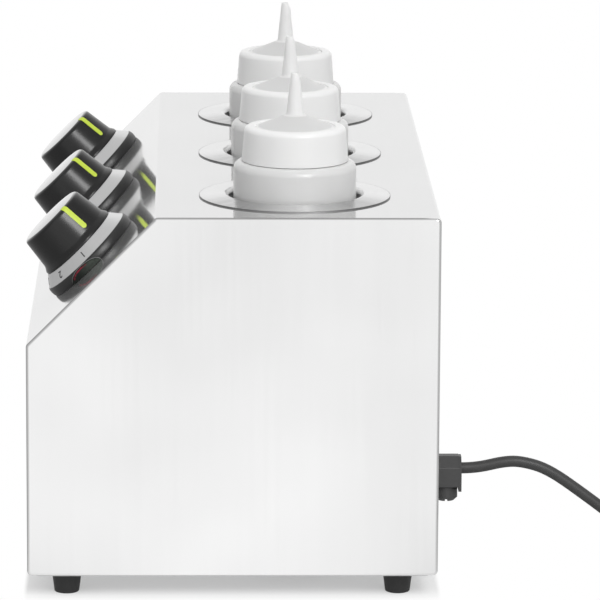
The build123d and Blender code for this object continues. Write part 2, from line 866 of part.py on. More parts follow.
# ---- mains inlet -------------------------------------------------------------------------------
def make_grip_body():
    """Moulded cord grip that snaps into the back panel, drawn with the cord's exit at its origin."""
    half = grip_width / 2
    section = polygon(
        [
            (-half, -grip_below),
            (half, -grip_below),
            (half, grip_above - grip_bevel),
            (half - grip_bevel, grip_above),
            (-half + grip_bevel, grip_above),
            (-half, grip_above - grip_bevel),
        ]
    )
    grip = extrude(Plane.XZ * section, amount=-grip_depth)
    grip = fillet(grip.edges().filter_by(Axis.Y), grip_edge_radius)
    spigot = cylinder(spigot_radius, -spigot_length, 0.5)
    barb_top = -sheet - spigot_gap
    spigot += cylinder(spigot_radius + barb_reach, barb_top - barb_width, barb_top)
    grip += Rot(-90, 0, 0) * spigot
    return grip - Rot(-90, 0, 0) * cylinder(cord_radius, -spigot_length - 1, grip_depth + 1)


def make_grip_cover():
    half = grip_width / 2 - cover_inset
    bevel = grip_bevel
    above = grip_above - cover_inset
    section = polygon(
        [
            (-half, -cover_below),
            (half, -cover_below),
            (half, above - bevel),
            (half - bevel, above),
            (-half + bevel, above),
            (-half, above - bevel),
        ],
        (cover_corner, (-half, -cover_below), (half, -cover_below)),
    )
    cover = Pos(0, grip_depth, 0) * extrude(Plane.XZ * section, amount=-cover_depth)
    hole = cylinder(cord_radius, grip_depth - 1, grip_depth + cover_depth - cover_skin)
    return cover - Rot(-90, 0, 0) * hole


def make_grip_plunger():
    """Clamp screw under the grip, slotted below."""
    top = -grip_below
    plunger = cylinder(plunger_radius, top - plunger_length, top, 0, grip_depth / 2)
    plunger = chamfer(plunger.edges().filter_by(GeomType.CIRCLE).sort_by(Axis.Z)[0], plunger_chamfer)
    half_slot = plunger_slot_width / 2
    slot = block(
        (-plunger_radius, grip_depth / 2 - half_slot, top - plunger_length - 1),
        (plunger_radius, grip_depth / 2 + half_slot, top - plunger_length + plunger_slot_depth),
    )
    return plunger - slot


def block_place():
    """Middle of the terminal block's foot."""
    return cord_x - block_from_cord, back_y - return_width - block_gap - block_size[1] / 2


def earth_place():
    x, y = block_place()
    return x - earth_from_block, y


def make_terminal_block():
    """Three pole screw terminal block standing on the base plate."""
    width, depth, height = block_size
    body = Box(width, depth, height, align=(Align.CENTER, Align.CENTER, Align.MIN))
    pitch = width / block_poles
    for pole in range(block_poles):
        x = (pole - (block_poles - 1) / 2) * pitch
        body -= cylinder(pole_screw_radius, height - pole_screw_depth, height + 1, x, 0)
        body -= Pos(x, 0, pole_wire_height) * Rot(90, 0, 0) * Cylinder(pole_wire_radius, depth + 2)
    for pole in range(block_poles - 1):
        x = (pole - (block_poles - 2) / 2) * pitch
        body -= block(
            (x - pole_barrier_gap / 2, -depth, height - pole_barrier_depth),
            (x + pole_barrier_gap / 2, depth, height + 1),
        )
    x, y = block_place()
    return Pos(x, y, base_z) * body


def make_earth_stud():
    """Earthing stud through the base plate with two nuts."""
    x, y = earth_place()
    stud = cylinder(earth_radius, foot_height, base_z + earth_height)
    stud += Pos(0, 0, foot_height - earth_head_height) * hexagon(earth_across_flats, earth_head_height)
    for low in (base_z, base_z + earth_nut_spacing):
        stud += Pos(0, 0, low) * hexagon(earth_across_flats, earth_nut_height)
    return Pos(x, y, 0) * stud


# ---- free cord, coil and plug ------------------------------------------------------------------
def arc_radii(points):
    """Largest tangent arc that the two runs at each corner allow."""
    radii = []
    for before, corner, after in zip(points, points[1:], points[2:]):
        run_in, run_out = Vector(*corner) - Vector(*before), Vector(*after) - Vector(*corner)
        half_turn = radians(run_in.get_angle(run_out)) / 2
        radii.append(0.45 * min(run_in.length, run_out.length) / tan(half_turn))
    return radii


coil_width = (coil_across - 1) * coil_pitch + 2 * cord_radius
coil_height = coil_layer + 2 * cord_radius
coil_x = cord_x - coil_radius - (coil_across - 1) / 2 * coil_pitch
coil_y = back_y + cord_points[-1][0]
lead_x = coil_x + coil_radius + coil_pitch / 2


def cord_route():
    return [(cord_x, back_y + behind, height) for behind, height in cord_points]


def lead_route():
    """Short stretch from the top of the coil to the plug."""
    return [(lead_x, coil_y + along, height) for along, height in lead_points]


def make_supply_cord():
    stretches = []
    for name, route in (("cord", cord_route()), ("plug lead", lead_route())):
        radii = arc_radii(route)
        solid = tube(route, cord_radius, radii)
        length = solid.volume / (pi * cord_radius**2)
        print(f"{name}: length {length:.1f} mm, arc radii", [round(r) for r in radii])
        stretches.append(solid)
    return stretches


def make_cord_coil():
    low, high = coil_radius - coil_width / 2, coil_radius + coil_width / 2
    corners = [(low, 0), (high, 0), (high, coil_height), (low, coil_height)]
    ring = turned(polygon(corners))
    return Pos(coil_x, coil_y, 0) * ring


def plug_location():
    """The plug lies on the surface behind the coil, its pins pointing away along +Y."""
    behind, height = lead_points[-1]
    return Pos(lead_x, coil_y + behind, height) * Rot(-90, 0, 0)


def make_plug_body():
    """Round two pin plug with side flats and a bend boot, drawn along Z from the cord's end."""
    head_low = boot_length + plug_taper
    section = polygon(
        [
            (0, 0),
            (cord_radius + boot_wall, 0),
            (boot_radius, boot_length),
            (plug_neck_radius, boot_length),
            (plug_radius, head_low),
            (plug_radius, head_low + plug_head),
            (0, head_low + plug_head),
        ],
        (plug_neck_fillet, (plug_neck_radius, boot_length)),
        (plug_shoulder_radius, (plug_radius, head_low)),
        (plug_face_edge, (plug_radius, head_low + plug_head)),
    )
    plug = turned(section)
    for groove in range(boot_grooves):
        low = boot_first_groove + groove * boot_groove_pitch
        core = cylinder(cord_radius + boot_core_wall, low - 1, low + boot_groove_width + 1)
        plug -= cylinder(plug_radius, low, low + boot_groove_width) - core
    flat_low = head_low + plug_flat_from_shoulder
    for side in (-1, 1):
        low = min(side * plug_flat, side * (plug_radius + 1))
        high = max(side * plug_flat, side * (plug_radius + 1))
        plug -= block(
            (low, -plug_flat_width / 2, flat_low), (high, plug_flat_width / 2, head_low + plug_head + 1)
        )
    return plug_location() * plug


def make_plug_pins():
    face = boot_length + plug_taper + plug_head
    pin = cylinder(pin_radius, face, face + pin_length)
    pin = fillet(pin.edges().filter_by(GeomType.CIRCLE).sort_by(Axis.Z)[-1], pin_tip_radius)
    return [plug_location() * Pos(x, 0, 0) * pin for x in (-pin_spacing / 2, pin_spacing / 2)]


# ---- everything, one file to a node ------------------------------------------------------------
def build():
    nodes = {"casing_wrapper": make_casing_wrapper()}
    nodes["end_panel_right"] = make_end_panel()
    nodes["end_panel_left"] = mirror(nodes["end_panel_right"], about=Plane.YZ)
    nodes["base_plate"] = make_base_plate()
    for place, (x, y) in foot_places().items():
        nodes[f"foot_{place}"] = Pos(x, y, 0) * make_foot()
    nodes["foot_fasteners"] = make_foot_fasteners()
    nodes["base_screws"] = make_base_screws()
    nodes["band_screws"] = []
    nodes["thermal_cutouts"] = []
    nodes["thermostat_screws"] = []
    nodes["pilot_lamps"] = []
    for index in range(stations):
        number = index + 1
        nodes[f"well_liner_{number}"] = at_station(index, make_well_liner())
        nodes[f"heater_band_{number}"] = at_station(index, make_heater_band())
        nodes["band_screws"] += [at_station(index, piece) for piece in make_band_screw()]
        nodes["thermal_cutouts"].append(at_station(index, make_thermal_cutout()))
        nodes[f"bottle_{number}"] = at_station(index, make_bottle())
        nodes[f"bottle_cap_{number}"] = at_station(index, make_bottle_cap())
        nodes[f"thermostat_{number}"] = on_panel(index, make_thermostat())
        nodes["thermostat_screws"] += [on_panel(index, piece) for piece in make_thermostat_screws()]
        nodes[f"thermostat_bulb_{number}"] = make_thermostat_bulb(index)
        nodes[f"dial_base_{number}"] = on_panel(index, make_dial_base())
        nodes[f"scale_ring_{number}"] = on_panel(index, make_scale_ring())
        nodes[f"lamp_lens_{number}"] = on_panel(index, make_lamp_lens())
        nodes["pilot_lamps"].append(on_panel(index, make_pilot_lamp()))
        nodes[f"control_knob_{number}"] = on_panel(index, make_control_knob(index))
        nodes[f"knob_pointer_{number}"] = on_panel(index, make_knob_pointer(index))
        nodes[f"thermostat_shaft_{number}"] = on_panel(index, make_thermostat_shaft(index))
    inlet = Pos(cord_x, back_y, cord_height)
    nodes["cord_grip_body"] = inlet * make_grip_body()
    nodes["cord_grip_cover"] = inlet * make_grip_cover()
    nodes["cord_grip_plunger"] = inlet * make_grip_plunger()
    nodes["terminal_block"] = make_terminal_block()
    nodes["earth_stud"] = make_earth_stud()
    nodes["supply_cord"] = make_supply_cord()
    nodes["cord_coil"] = make_cord_coil()
    nodes["plug_body"] = make_plug_body()
    nodes["plug_pins"] = make_plug_pins()
    return nodes


os.makedirs("parts", exist_ok=True)
for name, shape in build().items():
    pieces = shape if isinstance(shape, list) else [shape]
    solids = [solid for piece in pieces for solid in piece.solids()]
    export_step(Compound(children=solids) if len(solids) > 1 else solids[0], f"parts/{name}.step")
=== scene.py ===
import json
from math import cos, pi, radians, sin

import bmesh
import bpy
from mathutils import Matrix, Vector


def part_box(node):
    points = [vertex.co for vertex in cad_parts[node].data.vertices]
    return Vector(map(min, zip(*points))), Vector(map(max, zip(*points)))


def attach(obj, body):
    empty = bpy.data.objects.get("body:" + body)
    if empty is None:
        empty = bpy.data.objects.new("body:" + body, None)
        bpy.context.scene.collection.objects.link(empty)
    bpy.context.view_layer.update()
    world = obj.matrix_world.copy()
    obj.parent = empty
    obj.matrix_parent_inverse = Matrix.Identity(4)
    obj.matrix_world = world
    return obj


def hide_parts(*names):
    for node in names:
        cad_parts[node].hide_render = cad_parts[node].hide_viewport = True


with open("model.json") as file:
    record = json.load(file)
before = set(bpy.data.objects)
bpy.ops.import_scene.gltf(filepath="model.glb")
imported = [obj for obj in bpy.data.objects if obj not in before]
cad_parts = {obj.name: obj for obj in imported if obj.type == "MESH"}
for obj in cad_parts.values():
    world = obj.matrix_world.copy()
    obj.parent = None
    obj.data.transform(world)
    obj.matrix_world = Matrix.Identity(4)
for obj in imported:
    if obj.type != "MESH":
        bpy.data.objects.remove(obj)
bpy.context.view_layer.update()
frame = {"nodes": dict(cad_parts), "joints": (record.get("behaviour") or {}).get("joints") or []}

# Sauce warmer with three wells: the looks of its steel, plastics, dials, bottles and cord, around
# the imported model. Metres, +X towards the end nearer the cord, +Y to the back, +Z up.

MM = 0.001
STATIONS = (1, 2, 3)
LEFT_END, RIGHT_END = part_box("end_panel_left")[0].x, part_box("end_panel_right")[1].x
CASING_FRONT, CASING_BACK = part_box("casing_wrapper")[0].y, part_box("casing_wrapper")[1].y
CASING_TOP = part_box("casing_wrapper")[1].z

# ---- camera
CAMERA_BEYOND_END = 2.8725  # from the right-hand end panel
CAMERA_BEHIND_FRONT = 0.1002  # from the casing's front, towards the back
CAMERA_ABOVE_TOP = 0.5454
CAMERA_YAW = radians(1.359)  # towards the back
CAMERA_PITCH = radians(11.724)  # down
CAMERA_ROLL = radians(0.327)
CAMERA_LENS = 286.96  # mm, on the sensor below
SENSOR_WIDTH = 36.0
CAMERA_REACH = 60.0  # metres

# ---- light
WORLD_LEVEL = 0.74  # on what it lights
STUDIO_SIDE = (0.25, 0.75)  # how far sideways a mirrored direction points where the walls darken
SIDE_DIMMING = 0.50
STUDIO_CEILING = (0.60, 0.95)  # and how far up
CEILING_DIMMING = 0.60
LAMPS_AIM = (0.0, 0.0, 0.15)

# ---- floor
FLOOR_SIZE = 24.0
FLOOR_SHADE = 0.61
FLOOR_LIFT = 0.35  # added to the shaded floor close to the casing, where it is seen directly
FLOOR_DRAW_IN = 0.035  # how far inside the casing's ends it starts to turn white
FLOOR_FADE = (0.0, 0.045)  # from there, metres over which it turns to plain white
FLOOR_SIDE_SQUEEZE = 12.0  # how many times as fast in front of the casing and behind it
NEVER_ZERO = 0.01  # added to a length that is divided by

# ---- end panels
# the end panels' rounded rims are darkened as a painted dark reflection
RIM_DEPTH = 0.0016  # inwards from a panel's face, where its rounded rim starts to darken
RIM_FULL_DEPTH = RIM_DEPTH / 5  # and where it is darkest
RIM_RUN_OUT = 0.012  # before the casing's back, where the darkening starts to run out
RIM_END = RIM_RUN_OUT / 3  # and where it is gone

# ---- wells
# the cut edge is rougher, and darkened as painted shadow of the gap under the flange
CUT_EDGE_AND_SHADOW = (0.5 * MM, 0.1 * MM)  # inwards from a flange's rim, where dulling starts and is full

# ---- bottles and caps
BOTTLE_SHADE, BOTTLE_ROUGHNESS = 0.77, 0.27
NECK_RADIUS = 29.3 * MM
THREAD_RIDGE = 0.34 * MM
THREAD_TURNS = 2.25
THREAD_PITCH = 3.0 * MM
THREAD_BELOW_MOUTH = 2.0 * MM
THREAD_POINTS = 72  # to a turn
THREAD_RUN_OUT = 0.15  # of a turn, at each end
CAP_CONE = 24.0 * MM  # radius of the cone inside a cap's rim
# the part of the cone painted darker as shade, in shares of its radius: where its outer fade
# starts, which ends at the whole radius, and where its inner fade lies
CONE_OUTER = 0.93
CONE_INNER = (0.24, 0.34)
CONE_PAINTED_SHADE = 0.22

# ---- dials: heights above the panel, angles from +X towards its top
KNOB_FACE = (36.6 * MM, 37.7 * MM)
LENS_RADIUS = 33.7 * MM
LENS_ANGLE = radians(-7.0)
LENS_HALF_LENGTH = 12.0 * MM
LENS_HEIGHT = 5.6 * MM
LENS_BEZEL = 0.25 * MM
LENS_BEZEL_GAP = 0.15 * MM
LENS_STEPS = 40  # along its outline
# the base's opening for the lens: radii that it is cut between, room round the lens, and how far
# the cut goes below the base's foot
OPENING_RADII = (27.4 * MM, 38.0 * MM)
OPENING_ROOM = 0.12 * MM
OPENING_SINK = 2.0 * MM
# the lamp's streak in a lens: how far it reaches before and past the lens's middle and how far it
# fades there, in half lengths, then its inner and outer edge between the middle (0) and the rim (1)
STREAK_BEFORE, STREAK_BEFORE_FADE = 0.85, 0.2
STREAK_PAST, STREAK_PAST_FADE = 0.40, 0.3
STREAK_INNER = (0.76, 0.88)
STREAK_OUTER = (0.95, 1.0)
# the base's side from its foot up to the number ring, as (radius, height) in mm
BASE_SIDE = [
    (32.75, 0.0), (33.15, 0.12), (33.4, 0.5), (33.58, 1.3), (33.7, 2.4), (33.7, 3.6), (33.58, 4.7),
    (33.35, 5.55), (33.0, 6.15), (32.5, 6.35),
]
# and on over the cone under the ring, into the dished middle, and back under to the foot
BASE_INSIDE = [
    (31.4, 6.35), (25.8, 12.8), (20.4, 12.8), (20.4, 2.4), (5.3, 2.4), (5.3, 0.0), (22.0, 0.0),
    (22.0, 11.2), (24.2, 11.2), (29.8, 4.7), (31.1, 4.7), (31.1, 0.0),
]
BASE_SEGMENTS = 144
RING_FOOT = (32.7 * MM, 6.4 * MM)  # radius, height
RING_TOP = (27.1 * MM, 13.2 * MM)
NUMBERS = range(1, 7)
NUMBER_START = radians(44.0)
NUMBER_STEP = radians(-41.0)
NUMBER_SIZE = 6.4 * MM
NUMBER_INK = 0.04 * MM  # half its thickness
NUMBER_LIFT = 0.08 * MM
NUMBER_FACET = 0.5 * MM  # longest edge of a printed number
NUMBER_DIVISIONS = 5  # at most, to get there
NUMBER_WELD = 0.001 * MM
NUMBER_BOLDNESS = 0.015 * MM

# ---- cord: where each point lies behind the back panel, and its height
CORD_ROUTE = [
    (0.0170, 0.0705),
    (0.0267, 0.0705),
    (0.0447, 0.0749),
    (0.0559, 0.0747),
    (0.0719, 0.0699),
    (0.0942, 0.0542),
    (0.1310, 0.0260),
    (0.1600, 0.0090),
    (0.1880, 0.0036),
    (0.2160, 0.0036),
]
# from the coil to the plug: how far along +Y from the coil's middle, and its height
LEAD_ROUTE = [(0.0, 0.0100), (0.020, 0.0103), (0.042, 0.0154), (0.064, 0.0185), (0.078, 0.0185)]
CORD_RADIUS = 3.6 * MM
COIL_PITCH = 7.3 * MM
COIL_LAYER = 6.4 * MM
COIL_POINTS = 16  # to a turn

SHARP_EDGE = radians(38)
BLACK, WHITE = (0.0, 0.0, 0.0), (1.0, 1.0, 1.0)
ACROSS_FLOOR = (1, 1, 0)  # leaves heights out
# a colour mix node's sockets, by number because its sockets of other kinds have the same names
MIX_FACTOR, MIX_FIRST, MIX_SECOND, MIX_RESULT = 0, 6, 7, 2


class Dial:
    """Place of one control: its axis out of the panel, and the panel's own directions."""

    def __init__(self, number):
        hinge = next(j for j in frame["joints"] if j["child"] == f"knob_{number}")
        self.number = number
        self.out = -Vector(hinge["axis"]).normalized()
        self.across = Vector((1, 0, 0))
        self.up = self.out.cross(self.across)
        on_axis = Vector(hinge["pos_m"])
        base = frame["nodes"][f"dial_base_{number}"].data
        foot = min((vertex.co - on_axis).dot(self.out) for vertex in base.vertices)
        self.centre = on_axis + foot * self.out

    def turn(self, angle):
        """Direction away from the axis at an angle from +X towards the top of the panel."""
        return cos(angle) * self.across + sin(angle) * self.up

    def round(self, angle):
        """Direction of travel round the axis at an angle."""
        return cos(angle) * self.up - sin(angle) * self.across

    def spot(self, radius, angle, height):
        return self.centre + radius * self.turn(angle) + height * self.out


class Value:
    """A number that changes over a surface. Arithmetic on it adds Math nodes."""

    def __init__(self, net, socket):
        self.net, self.socket = net, socket

    def joined(self, operation, *operands):
        return self.net.node("ShaderNodeMath", {"operation": operation}, dict(enumerate(operands)))

    def __add__(self, other):
        return self.joined("ADD", self, other)

    def __sub__(self, other):
        return self.joined("SUBTRACT", self, other)

    def __mul__(self, other):
        return self.joined("MULTIPLY", self, other)

    def __truediv__(self, other):
        return self.joined("DIVIDE", self, other)

    def __pow__(self, other):
        return self.joined("POWER", self, other)

    def __rsub__(self, other):
        return self.joined("SUBTRACT", other, self)

    def __rtruediv__(self, other):
        return self.joined("DIVIDE", other, self)

    __radd__, __rmul__ = __add__, __mul__

    def size(self):
        """Without its sign."""
        return self.joined("ABSOLUTE", self)

    def clamped(self):
        """Kept between 0 and 1."""
        return self.net.node("ShaderNodeClamp", {}, {"Value": self})

    def swing(self, amount):
        """Noise between 0 and 1 as a change of up to half the amount either way."""
        return (self - 0.5) * amount

    def eased(self, low, high):
        """0 up to low, 1 from high on, with a smooth rise between."""
        settings = {"interpolation_type": "SMOOTHSTEP"}
        sockets = {"Value": self, "From Min": low, "From Max": high}
        return self.net.node("ShaderNodeMapRange", settings, sockets)


class Net:
    """Nodes of a material or of the world."""

    def __init__(self, tree):
        self.tree = tree

    def feed(self, target, value):
        if isinstance(value, Value):
            self.tree.links.new(value.socket, target)
        elif isinstance(value, bpy.types.NodeSocket):
            self.tree.links.new(value, target)
        elif target.type == "RGBA":
            target.default_value = (*value, 1.0)
        else:
            target.default_value = value

    def node(self, kind, settings, sockets=None, output=0):
        """Adds a node: its settings first, then the values or links of its sockets. A socket goes
        by its name or its number."""
        node = self.tree.nodes.new(kind)
        for name, value in settings.items():
            setattr(node, name, value)
        for name, value in (sockets or {}).items():
            self.feed(node.inputs[name], value)
        return Value(self, node.outputs[output])

    def vectors(self, operation, *operands, output="Vector"):
        sockets = dict(enumerate(operands))
        return self.node("ShaderNodeVectorMath", {"operation": operation}, sockets, output)

    def length(self, vector):
        return self.vectors("LENGTH", vector, output="Value")

    def component(self, vector, axis):
        return self.node("ShaderNodeSeparateXYZ", {}, {"Vector": vector}, axis)

    def point(self, x, y=0.0, z=0.0):
        return self.node("ShaderNodeCombineXYZ", {}, {"X": x, "Y": y, "Z": z})

    def ray(self, kind):
        """1 for one kind of ray, else 0."""
        return self.node("ShaderNodeLightPath", {}, {}, kind)


class Finish(Net):
    """A material being made. Constants are set on the shader's own sockets by name."""

    def __init__(self, name, **constants):
        self.material = bpy.data.materials.new(name)
        self.material.use_nodes = True
        super().__init__(self.material.node_tree)
        self.shader = self.tree.nodes["Principled BSDF"]
        for socket, value in constants.items():
            self.set(socket.replace("_", " "), value)

    def set(self, socket, value):
        """Sets or links one of the shader's sockets."""
        self.feed(self.shader.inputs[socket], value)

    def place(self, stretch=(1, 1, 1), origin=(0, 0, 0)):
        """Object coordinates measured from a point, scaled by stretch."""
        where = self.node("ShaderNodeTexCoord", {}, {}, "Object")
        return self.vectors("MULTIPLY", self.vectors("SUBTRACT", where, origin), stretch)

    def along(self, direction, origin=(0, 0, 0)):
        """How far from a point along a direction."""
        return self.vectors("DOT_PRODUCT", self.place(origin=origin), direction, output="Value")

    def noise(self, scale, detail=2.0, roughness=0.5, at=None):
        at = at or self.place()
        sockets = {"Vector": at, "Scale": scale, "Detail": detail, "Roughness": roughness}
        return self.node("ShaderNodeTexNoise", {}, sockets)

    def mix(self, factor, first, second):
        """Colour between two colours."""
        sockets = {MIX_FACTOR: factor, MIX_FIRST: first, MIX_SECOND: second}
        return self.node("ShaderNodeMix", {"data_type": "RGBA"}, sockets, MIX_RESULT)

    def up_to(self, level, lightest=WHITE):
        """Colour from black at level 0 to the lightest at level 1."""
        return self.mix(level.clamped(), BLACK, lightest)

    def bump(self, height, strength, distance):
        sockets = {"Height": height, "Strength": strength, "Distance": distance}
        self.set("Normal", self.node("ShaderNodeBump", {}, sockets))


def grey(level):
    return (level, level, level)


# ---- finishes ----------------------------------------------------------------------------------
def panel_rim(finish):
    """Painted dark reflection: 1 on an end panel's rounded rim, running out towards its back edge.
    """
    outward = finish.component(finish.place(), "X").size()
    backward = finish.component(finish.place(), "Y")
    rounded = 1.0 - outward.eased(RIGHT_END - RIM_DEPTH, RIGHT_END - RIM_FULL_DEPTH)
    run_out = backward.eased(CASING_BACK - RIM_RUN_OUT, CASING_BACK - RIM_END)
    return rounded * (1.0 - run_out)


def mirroring(haze):
    """Share of the sheet that mirrors; the rest scatters as a veil over what it mirrors."""
    return 1.0 - haze


def rolled_steel(name, grain, shade, haze, clouding_and_reflection=0.08, rim_dark_reflection=0.0):
    """Bright rolled stainless sheet: long fine grain, faint clouds of tone and a few handling
    marks;
    the end panels' stronger clouds are partly a painted reflection. Where a rim share is given, the
    end panels' rounded rims are darker by that share: a painted dark reflection."""
    finish = Finish(name, Metallic=mirroring(haze))
    lines = finish.noise(scale=260.0, detail=3.0, roughness=0.6, at=finish.place(grain))
    clouds = finish.noise(scale=7.0)
    smudges = finish.noise(scale=42.0, detail=4.0, roughness=0.6)
    # clouds of tone; on the end panels strong enough to be partly a painted reflection
    tone = shade + lines.swing(0.03) + clouds.swing(clouding_and_reflection)
    # painted dark reflection on the end panels' rounded rims
    if rim_dark_reflection:
        tone = tone * (1.0 - panel_rim(finish) * rim_dark_reflection)
    finish.set("Base Color", finish.up_to(tone))
    finish.set("Roughness", 0.075 + clouds.swing(0.03) + (smudges - 0.55).clamped() * 0.16)
    finish.bump(lines, 0.04, 0.0002)
    return finish.material


def spun_steel(name, centre, flange_radius):
    """Deep drawn well: rings of grain, a four-lobed sheen painted into the colour, and a cut edge
    that is rougher and darkened as painted shadow of the gap under it.
    """
    finish = Finish(name, Metallic=mirroring(0.20))
    from_axis = finish.place(ACROSS_FLOOR, centre)
    radius = finish.length(from_axis)
    height = finish.component(finish.place(), "Z")
    spot = finish.point(radius, height * 0.6)
    rings = finish.noise(scale=900.0, roughness=0.6, at=spot)
    clouds = finish.noise(scale=14.0)
    across, along = finish.component(from_axis, "X"), finish.component(from_axis, "Y")
    lobes = 2.0 * across * along / (radius * radius)
    painted_sheen = lobes * lobes * (across / radius).eased(-0.6, 0.4)
    round_axis = finish.point(across / radius * 0.2, along / radius * 0.2)
    fray = finish.noise(scale=30.0, roughness=0.6, at=round_axis)
    edge = radius.eased(*(flange_radius - inwards for inwards in CUT_EDGE_AND_SHADOW))
    # the four-lobed darkening is a painted sheen: painted reflection of spun steel
    tone = 0.74 + rings.swing(0.10) + clouds.swing(0.05) - painted_sheen * (0.14 + fray * 0.36)
    # the darkening at the cut edge is painted shadow of the gap under the flange
    finish.set("Base Color", finish.up_to(tone * (1.0 - edge * 0.55)))
    finish.set("Roughness", 0.18 + rings.swing(0.10) + edge * 0.3)
    finish.bump(rings, 0.06, 0.0002)
    return finish.material


def zinc_plate(name, shade=0.55):
    """Plated mild steel with its crystalline mottling."""
    finish = Finish(name, Metallic=0.95)
    crystals = {"Vector": finish.place(), "Scale": 320.0}
    spangle = finish.node("ShaderNodeTexVoronoi", {"feature": "F1"}, crystals)
    cloud = finish.noise(scale=60.0, detail=3.0)
    tone = shade + (spangle - 0.4) * 0.12 + cloud.swing(0.12)
    finish.set("Base Color", finish.up_to(tone, lightest=(0.99, 0.995, 1.0)))
    finish.set("Roughness", 0.38 + cloud.swing(0.2))
    finish.bump(spangle, 0.08, 0.0002)
    return finish.material


def moulded_black(name, shade, roughness, grain=2600.0):
    """Satin moulded plastic with a fine spark-eroded grain and faint unevenness."""
    finish = Finish(name, Specular_IOR_Level=0.5)
    texture = finish.noise(scale=grain, roughness=0.6)
    cloud = finish.noise(scale=55.0, detail=3.0)
    finish.set("Base Color", finish.up_to(shade + cloud.swing(0.02)))
    finish.set("Roughness", roughness + cloud.swing(0.10) + texture.swing(0.08))
    finish.bump(texture, 0.10, 0.0001)
    return finish.material


def knob_plastic(name, dial):
    """Black plastic with a satin side and a polished top face."""
    finish = Finish(name, Coat_Roughness=0.06, Specular_IOR_Level=0.40)
    texture = finish.noise(scale=2600.0, roughness=0.6)
    cloud = finish.noise(scale=55.0, detail=3.0)
    face = finish.along(dial.out, dial.centre).eased(*KNOB_FACE)
    finish.set("Base Color", finish.mix(cloud, grey(0.008), grey(0.015)))
    finish.set("Roughness", 0.25 + cloud.swing(0.06) + texture.swing(0.06) - face * 0.15)
    finish.set("Coat Weight", face)
    finish.bump(texture, 0.06, 0.0001)
    return finish.material


def lime_paint(name):
    finish = Finish(name, Roughness=0.38)
    cloud = finish.noise(scale=900.0, detail=3.0)
    finish.set("Base Color", finish.mix(cloud, (0.50, 0.64, 0.045), (0.60, 0.74, 0.075)))
    finish.bump(finish.noise(scale=2600.0), 0.06, 0.0001)
    return finish.material


def satin_ring(name, dial):
    """Silver lacquered ring, turned lines round the dial's axis."""
    finish = Finish(name, Metallic=0.8)
    rise = finish.along(dial.out, dial.centre)
    lines = finish.noise(scale=4200.0, roughness=0.7, at=finish.point(rise))
    flake = finish.noise(scale=5200.0, detail=1.0)
    finish.set("Base Color", finish.up_to(0.72 + lines.swing(0.12) + flake.swing(0.10)))
    finish.set("Roughness", 0.32 + lines.swing(0.12))
    finish.bump(lines, 0.05, 0.0001)
    return finish.material


def smoked_lens(name, dial):
    """Dark tinted lens; the red lamp behind it shows as a broken streak along one edge."""
    finish = Finish(name, Specular_IOR_Level=0.25)
    middle = dial.spot(LENS_RADIUS, LENS_ANGLE, 0.0)
    across = finish.along(dial.round(LENS_ANGLE), middle) / LENS_HALF_LENGTH
    rise = finish.along(dial.out, middle) / LENS_HEIGHT
    rim = (across * across + rise * rise) ** 0.5
    cloud = finish.noise(scale=520.0, detail=3.0, at=finish.place(origin=middle))
    begun = (across + STREAK_BEFORE).eased(0.0, STREAK_BEFORE_FADE)
    window = begun * (STREAK_PAST - across).eased(0.0, STREAK_PAST_FADE)
    streak = rim.eased(*STREAK_INNER) * (1.0 - rim.eased(*STREAK_OUTER)) * window
    glow = (streak * cloud.eased(0.40, 0.60)).clamped()
    pale = (cloud * across.eased(-0.5, 0.6)).clamped()
    body = finish.mix(pale, (0.006, 0.009, 0.007), (0.075, 0.088, 0.074))
    finish.set("Base Color", finish.mix(glow, body, (0.24, 0.016, 0.034)))
    finish.set("Roughness", 0.14 + cloud * 0.08)
    return finish.material


def milky_plastic(name, shade, roughness, cone_radius=0.0, cone_centres=()):
    """Translucent polyethylene: faint vertical flow lines and a waxy surface. Round each centre,
    a cap's cone is painted darker as shade between the foot of its nozzle and its rim."""
    finish = Finish(name, Subsurface_Weight=0.35, Subsurface_Scale=0.012, IOR=1.51)
    finish.set("Subsurface Radius", (1.0, 1.0, 1.0))
    flow = finish.noise(scale=34.0, detail=3.0, at=finish.place((1, 1, 0.15)))
    pearl = finish.noise(scale=1400.0)
    tone = shade + flow.swing(0.03)
    for centre in cone_centres:
        reach = finish.length(finish.place(ACROSS_FLOOR, centre))
        inside = 1.0 - reach.eased(cone_radius * CONE_OUTER, cone_radius)
        outside_nozzle = reach.eased(*(cone_radius * share for share in CONE_INNER))
        # painted shade on the cap's cone
        tone = tone - inside * outside_nozzle * CONE_PAINTED_SHADE
    finish.set("Base Color", finish.up_to(tone, lightest=(1.0, 1.0, 0.995)))
    finish.set("Roughness", roughness + flow.swing(0.04))
    finish.bump(pearl, 0.05, 0.0001)
    return finish.material


def rubber(name):
    finish = Finish(name, Specular_IOR_Level=0.35)
    grain = finish.noise(scale=1500.0, detail=4.0, roughness=0.7)
    dust = finish.noise(scale=70.0, detail=3.0)
    finish.set("Base Color", finish.mix(dust, grey(0.022), grey(0.045)))
    finish.set("Roughness", 0.58 + grain.swing(0.2))
    finish.bump(grain, 0.18, 0.0002)
    return finish.material


def cord_sheath(name):
    """Matt PVC sheath with faint scuffs and grain."""
    finish = Finish(name, Specular_IOR_Level=0.45)
    scuffs = finish.noise(scale=120.0, detail=4.0, roughness=0.6)
    grain = finish.noise(scale=1800.0, detail=3.0)
    finish.set("Base Color", finish.mix(scuffs, grey(0.030), grey(0.060)))
    finish.set("Roughness", 0.46 + scuffs.swing(0.16))
    finish.bump(grain, 0.10, 0.0002)
    return finish.material


